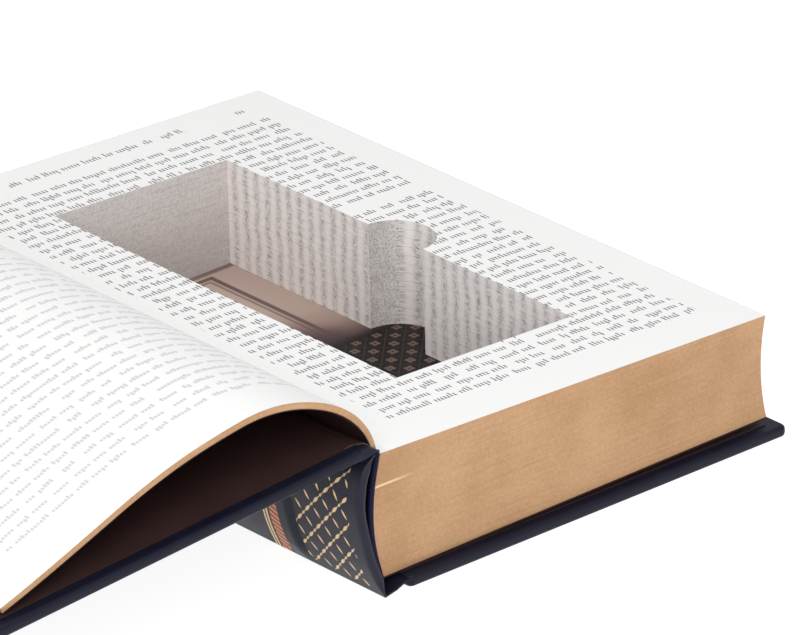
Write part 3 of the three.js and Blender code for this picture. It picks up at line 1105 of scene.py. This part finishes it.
@dataclass
class BowedLeaves:
    """The uncut first leaves, which bow over with the cover."""

    finishes: Finishes
    width: float = BLOCK_WIDTH
    half_length: float = BLOCK_HALF
    stack: float = 2.3 * MM
    flyleaf_gap: float = 0.1 * MM
    flyleaf: float = 0.2 * MM
    gutter: Point = (-0.7 * MM, 39.7 * MM)
    steps: int = 148
    smoothings: int = 6
    bow_shares: tuple[float, ...] = (
        0, 0.03, 0.06, 0.09, 0.13, 0.18, 0.24, 0.31, 0.39, 0.48, 0.58, 0.70, 0.85, 1,
    )
    bow_angles: tuple[float, ...] = (
        95.5, 111.9, 124.3, 133.0, 143.2, 153.9, 162.9, 174.5, 188.4, 190.7, 196.4, 201.2, 200.6,
        198.2,
    )
    stack_shares: tuple[float, ...] = (0, 0.1, 0.3, 1)
    stack_heights: tuple[float, ...] = (1.7 * MM, 2.2 * MM, 2.3 * MM, 2.0 * MM)
    turns: tuple[Turn, ...] = (
        Turn(8, Body.LEAVES_1, Body.LEAVES_1, (0.0, 0.0), (0.0, 0.0)),
        Turn(29, Body.LEAVES_2, Body.LEAVES_3, (-4.06, 45.70), (-23.48, 61.45)),
        Turn(48, Body.LEAVES_2, Body.LEAVES_3, (13.79, 51.39), (-46.95, 66.12)),
        Turn(80, Body.LEAVES_2, Body.LEAVES_4, (64.36, 79.56), (-76.17, 59.22)),
        Turn(104, Body.LEAVES_4, Body.LEAVES_5, (-58.31, 64.19), (-94.93, 52.32)),
        Turn(148, Body.LEAVES_5, Body.LEAVES_6, (-53.44, 52.57), (-120.44, 52.42)),
    )

    def line(self) -> tuple[np.ndarray, np.ndarray, np.ndarray]:
        """The underside of the stack, from the gutter out.

        Returns:
            Its points, their directions in degrees, and the stack's height there.
        """
        shares = np.linspace(0, 1, self.steps + 1)
        angles = np.interp(shares, self.bow_shares, self.bow_angles)
        for _ in range(self.smoothings):
            angles[1:-1] = (angles[:-2] + 2 * angles[1:-1] + angles[2:]) / 4
        start = np.array(self.gutter) + self.stack * to_left(unit(angles[0]))
        middles = (angles[1:] + angles[:-1]) / 2
        steps = np.array([unit(angle) for angle in middles]) * self.width / self.steps
        points = np.vstack([start, start + np.cumsum(steps, axis=0)])
        return points, angles, np.interp(shares, self.stack_shares, self.stack_heights)

    def layer(self, name: str, low: float, high: float | None, first: int, last: int,
              shader: Shader) -> bpy.types.Object:
        """A part of a layer of the stack.

        Args:
            name: The piece's name.
            low: How far its underside stands from the stack's underside.
            high: How far its top stands from there, or None for the stack's own height.
            first: The step of the bow where it starts.
            last: The step where it ends.
            shader: What it is made of.

        Returns:
            The object.
        """
        points, angles, heights = self.line()
        rings = []
        for index in range(first, last + 1):
            normal = to_left(unit(angles[index]))
            under = lift(*(points[index] - normal * low))
            over = lift(*(points[index] - normal * (high or heights[index])))
            half = self.half_length
            rings.append([
                (under[0], -half, under[1]), (over[0], -half, over[1]),
                (over[0], half, over[1]), (under[0], half, under[1]),
            ])
        made = loft(name, np.array(rings), shader)
        self._mark(made, first, last)
        return made

    def _mark(self, made: bpy.types.Object, first: int, last: int) -> None:
        """Notes each point's place on the page: across, along and the layer's side.

        Args:
            made: The part of a layer.
            first: The step of the bow where it starts.
            last: The step where it ends.
        """
        steps = np.arange(first, last + 1) * self.width / self.steps
        across = np.repeat(steps, 4)
        along = np.tile([0.0, 0.0, 2 * self.half_length, 2 * self.half_length], len(steps))
        up = np.tile([0.0, 1.0, 1.0, 0.0], len(steps))
        note(made, "page", np.stack([across, along, up], axis=1))

    def build(self) -> list[bpy.types.Object]:
        """Builds the pieces of the leaves and of their flyleaf; a piece with a single body rides
        on it, and the rest are baked in place.

        Returns:
            The pieces.
        """
        made = []
        layers = [
            ("bowed_leaves", self.flyleaf + self.flyleaf_gap, None, self.finishes.bowed_pages,
             "first_leaves_strip", "pages"),
            ("bowed_flyleaf", 0.0, self.flyleaf, self.finishes.endpaper, "front_flyleaf_strip",
             "endpaper"),
        ]
        for name, low, high, shader, node, slot in layers:
            first = 0
            for number, turn in enumerate(self.turns, 1):
                piece = self.layer(f"{name}_{number}", low, high, first, turn.last, shader)
                self._hang(piece, turn)
                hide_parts(f"{node}_{number}")
                made.append(piece)
                first = turn.last
        return made

    def _hang(self, piece: bpy.types.Object, turn: Turn) -> None:
        """Lets a piece ride on its body where both of its bodies are one; any other piece is baked
        in place and does not bend.

        Args:
            piece: The part of a layer.
            turn: The bodies and where it bends.
        """
        if turn.first_body is turn.second_body:
            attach(piece, turn.first_body.value)
            return
        start, end = (raised(x * MM, 0.0, z * MM) for x, z in (turn.start, turn.end))
        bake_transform(piece)


@dataclass(frozen=True)
class BowedPaper:
    """The paper of the bowed leaves, printed on top, gilt on the outside edges."""

    printing: Print = Print(low_height=0.60 * MM, high_height=0.92 * MM)
    paper: Paper = Paper()
    width: float = BLOCK_WIDTH
    length: float = BLOCK_LENGTH
    grey: Colour = (0.43, 0.43, 0.445)
    sharp: float = 0.45
    rim: float = 0.01 * MM

    def build(self) -> Shader:
        """Makes the material.

        Returns:
            Its shader.
        """
        shader = Shader("bowed_pages", 0.6, Specular_IOR_Level=0.3)
        page = shader.attribute("page")
        across, along, up = shader.split(page)
        ink = self.printing.ink(shader, self.width - across, along, self.sharp)
        near = across.step(8 * MM, 60 * MM)
        ink = ink * (near * 0.25 + 0.75)
        top = shader.blend(ink * (up > 0.999), self.paper.white, self.grey)
        rims = (along < self.rim) + (along > self.length - self.rim)
        rims = (rims + (across > self.width - self.rim)).least(1.0)
        side = (up < 0.999) * rims
        gilt, shine = self.paper.gilt(shader, shader.join(across, along, up * 2.0 * MM))
        # Partly bare glued edge where the gold stops, partly painted shade in the fold: the edges
        # near the gutter are dark.
        gilt = shader.blend(across.step(1.2 * MM, 3.2 * MM), self.paper.glue, gilt)
        shader.set("Base Color", shader.blend(side, top, gilt))
        shader.set("Metallic", side * self.paper.metallic)
        shader.set("Roughness", 0.62 - side * shine)
        return shader


@dataclass
class FrontJoint:
    """The leather and the paper between the spine and the front board.

    The points of fold and lining are in millimetres from the hinge outwards and up from the
    cover's outer face. end_rounding pairs an inset from the fold's end with its scale there.
    """

    finishes: Finishes
    axis: Point = (-0.8 * MM, 44.116 * MM)
    depth: float = 2.12 * MM
    droop: float = 4.0423366
    half_length: float = 117.2 * MM
    fold: tuple[Point, ...] = (
        (9.6, 3.74), (8.8, 3.68), (8.0, 3.48), (7.2, 3.24), (6.4, 3.02), (5.6, 2.80), (4.8, 2.48),
        (4.0, 1.92), (3.1, 1.25), (2.5, 0.80), (2.6, 0.52), (3.4, 0.62), (4.4, 0.66), (5.6, 0.52),
        (6.8, 0.34), (8.0, 0.16), (9.6, -0.02),
    )
    lining: tuple[Point, ...] = (
        (12.0, 3.92), (9.8, 3.98), (8.8, 3.88), (8.0, 3.68), (7.2, 3.44), (6.4, 3.22), (5.6, 3.00),
        (4.8, 2.66), (3.9, 2.0), (3.2, 1.4),
    )
    lining_half: float = 113.2 * MM
    lining_thickness: float = 0.28 * MM
    shoulder_foot: Point = (-5.05 * MM, 41.97 * MM)
    shoulder_step: Point = (0.20 * MM, 0.38 * MM)
    shoulder_steps: int = 24
    shoulder_half: float = 116.4 * MM
    end_rounding: tuple[Point, ...] = ((0.0, 0.86), (0.15, 0.93), (0.4, 0.98), (1.0, 1.0))

    def on_cover(self, out: float, up: float) -> Point:
        """Takes a point of the cover to the block's frame.

        Args:
            out: Distance from the hinge outwards.
            up: Height over the cover's outer face.

        Returns:
            The point's x and z.
        """
        turn = self.droop * DEGREE
        x, z = -out, up - self.depth
        return (
            self.axis[0] + x * math.cos(turn) - z * math.sin(turn),
            self.axis[1] + x * math.sin(turn) + z * math.cos(turn),
        )

    def build(self) -> list[bpy.types.Object]:
        """Builds the filled fold beside the board, its paper lining and the leather over the
        block's shoulder.
        """
        return [self._fold(), self._lining(), self._shoulder()]

    def _fold(self) -> bpy.types.Object:
        """The leather over the joint, as thick as the board, thinning to the fold.

        Returns:
            The piece.
        """
        outline = np.array([self.on_cover(out * MM, up * MM) for out, up in self.fold])
        middle = outline.mean(axis=0)
        ends = [(-self.half_length + inset * MM, scale) for inset, scale in self.end_rounding]
        ends += [(-y, scale) for y, scale in reversed(ends)]
        rings = []
        for y, scale in ends:
            rings.append([raised(x, y, z) for x, z in middle + (outline - middle) * scale])
        made = loft("joint_fold", np.array(rings), self.finishes.leather)
        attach(made, Body.COVER.value)
        return made

    def _lining(self) -> bpy.types.Object:
        """The endpaper over the joint, from the pastedown down to the fold.

        Returns:
            The piece, with its bare paper core at both ends.
        """
        path = curve([self.on_cover(out * MM, up * MM) for out, up in self.lining], 24)
        made = strip("joint_endpaper", path, self.lining_thickness, self.lining_half,
                     self.finishes.endpaper)
        made.data.materials.append(self.finishes.cut_paper.material)
        for face in made.data.polygons:
            if abs(face.normal.y) > 0.7:
                face.material_index = 1
        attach(made, Body.COVER.value)
        return made

    def _shoulder(self) -> bpy.types.Object:
        """The leather over the block's shoulder: a straight strip, baked in place.

        Returns:
            The piece.
        """
        x, z = self.shoulder_foot
        along, up = self.shoulder_step
        shares = np.linspace(0, 1, self.shoulder_steps)
        path = [(x + along * share, z + up * share) for share in shares]
        made = strip("joint_leather", path, LEATHER, self.shoulder_half, self.finishes.leather)
        start, end = (raised(px, 0.0, pz) for px, pz in (path[0], path[-1]))
        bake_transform(made)
        return made


@dataclass
class Spine:
    """The covering of the spine, turned in at head and tail, over raised bands, tooled in gold."""

    finishes: Finishes
    half_length: float = 117.25 * MM
    block_length: float = BLOCK_LENGTH
    start: Point = (-2.75, -3.6)
    standoff: float = 11.4
    height: float = 46.1
    foot: float = 3.9
    outline: tuple[Point, ...] = (
        (0.15, 0.526), (0.315, 0.763), (0.6, 1), (0.765, 0.982), (0.88, 0.87), (0.955, 0.67),
        (1, 0.46),
    )
    leather: float = LEATHER
    wrap: float = 3.0 * MM
    turn_in: float = 12 * MM
    band_inset: float = 31 * MM
    band_pitch: float = 41.125 * MM
    bands: int = 5
    band_width: float = 6.6 * MM
    band_height: float = 1.3 * MM
    band_swell: float = 0.6 * MM
    band_edge: float = 1.7 * MM
    pinch: tuple[float, float] = (0.015, 0.125)
    inner_least: float = 0.02 * MM
    lining_inset: float = 1.0 * MM
    stations: int = 49
    arc_steps: int = 8
    grain_step: float = 1.0 * MM

    def _curve(self) -> tuple[np.ndarray, np.ndarray, np.ndarray]:
        """The profile of the outer face, from its foot up.

        Returns:
            Its points, their outward normals and their distances from the top.
        """
        places = [(-self.standoff * out, self.height * up - self.foot) for up, out in self.outline]
        line = np.array(curve([self.start, *places], self.stations)) * MM
        steps = np.linalg.norm(np.diff(line, axis=0), axis=1)
        up = np.concatenate([[0.0], np.cumsum(steps)])
        return line, across_line(line), up[-1] - up

    def _relief(self, y: float, share: float) -> float:
        """How far the covering stands up over the bands.

        Args:
            y: Place along the spine.
            share: Place across it, from 0 at its foot to 1 at its top.

        Returns:
            The height.
        """
        fade = min(1.0, 8 * share * (1 - share))
        height = 0.0
        for number in range(self.bands):
            centre = self.band_inset + number * self.band_pitch - self.block_length / 2
            reach = (self.band_width / 2 + self.band_swell - abs(y - centre)) / self.band_edge
            height = max(height, ease(reach))
        return height * self.band_height * fade

    def _section(self, share: float) -> tuple[list[Point], list[float]]:
        """One section along the spine, through the covering and both of its turned-in ends.

        Args:
            share: Place across the spine, from 0 at its foot to 1 at its top.

        Returns:
            The outline, in Y and outwards, and 1 for each of its points on the outer face.
        """
        near, far = self.pinch
        ramp = ease((min(share, 1 - share) - near) / (far - near))
        wrap = self.leather + (self.wrap - self.leather) * ramp
        radius = wrap / 2
        centre = self.half_length - radius
        count = round(2 * self.half_length / self.grain_step)
        ys = np.linspace(-centre, centre, count + 1)
        points = [(y, self._relief(y, share)) for y in ys]
        faces = [1.0] * len(points)
        inner = max(radius - self.leather, self.inner_least)
        turns = np.linspace(math.pi / 2, -math.pi / 2, self.arc_steps + 1)
        arc = [(math.cos(turn), math.sin(turn)) for turn in turns]
        edge = centre - self.lining_inset
        for side in (1, -1):
            outer = [(side * (centre + radius * x), radius * z - radius) for x, z in arc[1:]]
            flap = [
                (side * (self.half_length - self.turn_in), -wrap),
                (side * (self.half_length - self.turn_in), -radius - inner),
            ]
            back = [(side * (centre + inner * x), inner * z - radius) for x, z in reversed(arc)]
            run = outer + flap + back
            points += run if side == 1 else run[::-1]
            faces += [0.0] * len(run)
            if side == 1:
                lining = [(y, -radius + inner) for y in (edge, 0.0, -edge)]
                points += lining
                faces += [0.0] * len(lining)
        return points, faces

    def build(self) -> list[bpy.types.Object]:
        """Builds the covering of the spine.

        Returns:
            The one piece.
        """
        line, normals, down = self._curve()
        rings, marks = [], []
        for index, (point, normal) in enumerate(zip(line, normals)):
            section, faces = self._section(index / (len(line) - 1))
            ring = []
            for (y, out), face in zip(section, faces):
                x, z = point + normal * out
                ring.append(raised(x, y, z))
                marks.append((y + self.block_length / 2, down[index], face))
            rings.append(ring)
        made = loft("spine_covering", np.array(rings), self.finishes.tooled)
        note(made, "skin", np.array(marks))
        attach(made, Body.BLOCK.value)
        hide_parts("spine_leather")
        return [made]


@dataclass
class EndBands:
    """The silk bands at the head and tail of the block's spine, over the ends of its folds."""

    finishes: Finishes
    low: float = 0.7 * MM
    high: float = 39.4 * MM
    half_length: float = BLOCK_HALF
    radius: float = 0.95 * MM
    end_radius: float = 0.62
    out: float = 0.85 * MM
    rise: float = 1.1 * MM
    sides: int = 14
    stations: int = 33

    def build(self) -> list[bpy.types.Object]:
        """Builds both bands.

        Returns:
            The pieces.
        """
        made = []
        for name, side in (("head_band", 1), ("tail_band", -1)):
            rings = []
            for share in np.linspace(0, 1, self.stations):
                bulge = 4 * share * (1 - share)
                x = -SPINE_ROUND * bulge
                z = self.low + (self.high - self.low) * share + self.rise * share ** 8
                slope = -4 * SPINE_ROUND * (1 - 2 * share) / (self.high - self.low)
                normal = np.array([-1.0, slope]) / math.hypot(1.0, slope)
                full = self.end_radius + (1 - self.end_radius) * min(1.0, 4 * bulge)
                radius = self.radius * full
                ring = []
                for turn in np.linspace(0, 2 * math.pi, self.sides, endpoint=False):
                    px, pz = np.array([x, z]) + normal * (self.out + radius * math.cos(turn))
                    y = side * (self.half_length + radius * math.sin(turn))
                    ring.append(raised(px, y, pz))
                rings.append(ring)
            band = loft(f"silk_{name}", np.array(rings)[:, ::side], self.finishes.end_band)
            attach(band, Body.BLOCK.value)
            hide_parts(name)
            made.append(band)
        return made


@dataclass
class Gutter:
    """The sheets that go down into the fold between the bowed leaves and the block."""

    finishes: Finishes
    page: tuple[Point, ...] = (
        (3.0, 39.34), (1.8, 39.38), (0.9, 39.38), (0.2, 39.30), (-0.4, 39.10), (-0.8, 38.75),
        (-1.0, 38.30),
    )
    endpaper: tuple[Point, ...] = (
        (-5.15, 42.10), (-4.4, 41.60), (-3.6, 40.60), (-3.0, 39.60), (-2.6, 38.80),
    )
    half_length: float = 113.2 * MM

    def build(self) -> list[bpy.types.Object]:
        """Builds the page's fold and the endpaper's fold.

        Returns:
            The pieces.
        """
        made = []
        for name, places, thickness, shader, slot in (
            ("gutter_page", self.page, 0.1 * MM, self.finishes.blank_paper, "pages"),
            ("gutter_endpaper", self.endpaper, 0.5 * MM, self.finishes.endpaper, "endpaper"),
        ):
            path = [(x * MM, z * MM) for x, z in curve(list(places), 20)]
            fold = strip(name, path, thickness, self.half_length, shader)
            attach(fold, Body.BLOCK.value)
            made.append(fold)
        return made


@dataclass
class Gilding:
    """The gold over the trimmed edges of the block, which joins its sections into one face."""

    finishes: Finishes
    width: float = BLOCK_WIDTH
    half_length: float = BLOCK_HALF
    fore_hollow: float = 2.0 * MM
    fold: float = 0.05 * MM
    low: float = 0.7 * MM
    spine_high: float = 39.34 * MM
    fore_high: float = 33.34 * MM
    lift_off: float = 0.02 * MM
    thickness: float = 0.05 * MM
    stations: int = 13

    def build(self) -> list[bpy.types.Object]:
        """Builds the gold of the head, the tail and the fore-edge.

        Returns:
            The pieces.
        """
        near = self.half_length + self.lift_off
        far = near + self.thickness

        def end(low: float, high: float) -> Section:
            """The outline of a sheet on an end of the block, between two places in Y."""
            return lambda x0, x1: [(x0, low), (x0, high), (x1, high), (x1, low)]

        def fore_edge(_: float, edge: float) -> list[Point]:
            """The outline of the sheet on the fore-edge."""
            inner, outer = edge + self.lift_off, edge + self.lift_off + self.thickness
            return [(inner, -far), (inner, far), (outer, far), (outer, -far)]

        made = [
            self._sheet("gilding_head", end(near, far)),
            self._sheet("gilding_tail", end(-far, -near)),
            self._sheet("gilding_fore_edge", fore_edge),
        ]
        for sheet in made:
            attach(sheet, Body.BLOCK.value)
        return made

    def _sheet(self, name: str, section: Section) -> bpy.types.Object:
        """A thin sheet up the block.

        Args:
            name: The piece's name.
            section: Gives its X and Y points at a height from the block's two edges there.

        Returns:
            The object.
        """
        rings = []
        for share in np.linspace(0, 1, self.stations):
            bulge = 4 * share * (1 - share)
            x0 = self.fold - SPINE_ROUND * bulge
            x1 = self.width - self.fore_hollow * bulge
            ring = []
            for x, y in section(x0, x1):
                high = self.spine_high + (self.fore_high - self.spine_high) * x / self.width
                ring.append(raised(x, y, self.low + (high - self.low) * share))
            rings.append(ring)
        return loft(name, np.array(rings), self.finishes.pages)


@dataclass(frozen=True)
class Softbox:
    """A large square light that looks at the origin."""

    name: str
    place: Spot
    size: float
    power: float


@dataclass
class Studio:
    """The pale floor, the soft light and the camera of the photograph."""

    lens: float = 398.2
    sensor: float = 36.0
    clip: tuple[float, float] = (0.1, 20.0)
    place: Spot = (-1429.857 * MM, -1678.878 * MM, 1119.744 * MM)
    turn: Spot = (1.1305177, 0.0247215, -0.7197326)
    sky: float = 0.64
    softboxes: tuple[Softbox, ...] = (
        Softbox("key", (-0.85, -0.95, 0.95), 1.3, 17.0),
        Softbox("fill", (0.6, 0.5, 1.3), 1.2, 1.5),
    )
    floor_colour: Colour = (0.30, 0.30, 0.30)
    floor_glow: float = 0.90
    floor_reach: float = 4.0

    def build(self) -> None:
        """Builds the camera, the lights and the floor."""
        bpy.context.scene.view_settings.view_transform = "Standard"
        self._camera()
        self._lights()
        self._floor()

    def _camera(self) -> None:
        """Sets the camera where the photograph was taken from."""
        data = bpy.data.cameras.new("camera")
        data.lens = self.lens
        data.sensor_width = self.sensor
        data.clip_start, data.clip_end = self.clip
        camera = bpy.data.objects.new("camera", data)
        bpy.context.scene.collection.objects.link(camera)
        pitch, roll, yaw = self.turn
        ahead = (
            Matrix.Rotation(yaw, 4, "Z") @ Matrix.Rotation(roll, 4, "Y")
            @ Matrix.Rotation(pitch, 4, "X")
        )
        seen = Matrix.Translation(self.place) @ ahead
        to_part = Matrix.Translation((BLOCK_X, -BLOCK_HALF, BLOCK_Z))
        hold = Matrix.Translation((BLOCK_X, 0, BLOCK_Z))
        lean = hold @ Matrix.Rotation(-LEAN, 4, "Y") @ hold.inverted()
        camera.matrix_world = lean @ to_part @ seen
        bpy.context.scene.camera = camera

    def _lights(self) -> None:
        """Sets an even sky and two large soft lights."""
        world = bpy.data.worlds.new("studio")
        world.use_nodes = True
        sky = world.node_tree.nodes["Background"].inputs
        sky["Color"].default_value = (1.0, 1.0, 1.0, 1.0)
        sky["Strength"].default_value = self.sky
        bpy.context.scene.world = world
        for softbox in self.softboxes:
            data = bpy.data.lights.new(softbox.name, "AREA")
            data.size = softbox.size
            data.energy = softbox.power
            light = bpy.data.objects.new(softbox.name, data)
            bpy.context.scene.collection.objects.link(light)
            light.location = softbox.place
            light.rotation_mode = "QUATERNION"
            light.rotation_quaternion = (-Vector(softbox.place)).to_track_quat("-Z", "Y")

    def _floor(self) -> None:
        """Lays the floor."""
        white = (1.0, 1.0, 1.0)
        shader = Shader("floor", 0.8, Base_Color=self.floor_colour, Emission_Color=white,
                        Emission_Strength=self.floor_glow)
        far = self.floor_reach
        corners = np.array([(-far, -far, 0), (far, -far, 0), (far, far, 0), (-far, far, 0)])
        make_mesh("floor", corners, [(0, 1, 2, 3)], shader, smooth=False)


def main(frame: dict) -> None:
    """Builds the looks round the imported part.
    """
    logging.basicConfig(level=logging.INFO, format="%(message)s")
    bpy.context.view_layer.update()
    finishes = Finishes.make()
    CarriedOver(finishes).dress(frame["nodes"], frame["record"])
    assemblies = (
        BowedLeaves(finishes), FrontJoint(finishes), Spine(finishes), EndBands(finishes),
        Gutter(finishes), Gilding(finishes),
    )
    for assembly in assemblies:
        for piece in assembly.build():
            log.info("built %s", piece.name)
    Studio().build()
    bpy.context.view_layer.update()


if __name__ == "__main__":
    main(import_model())
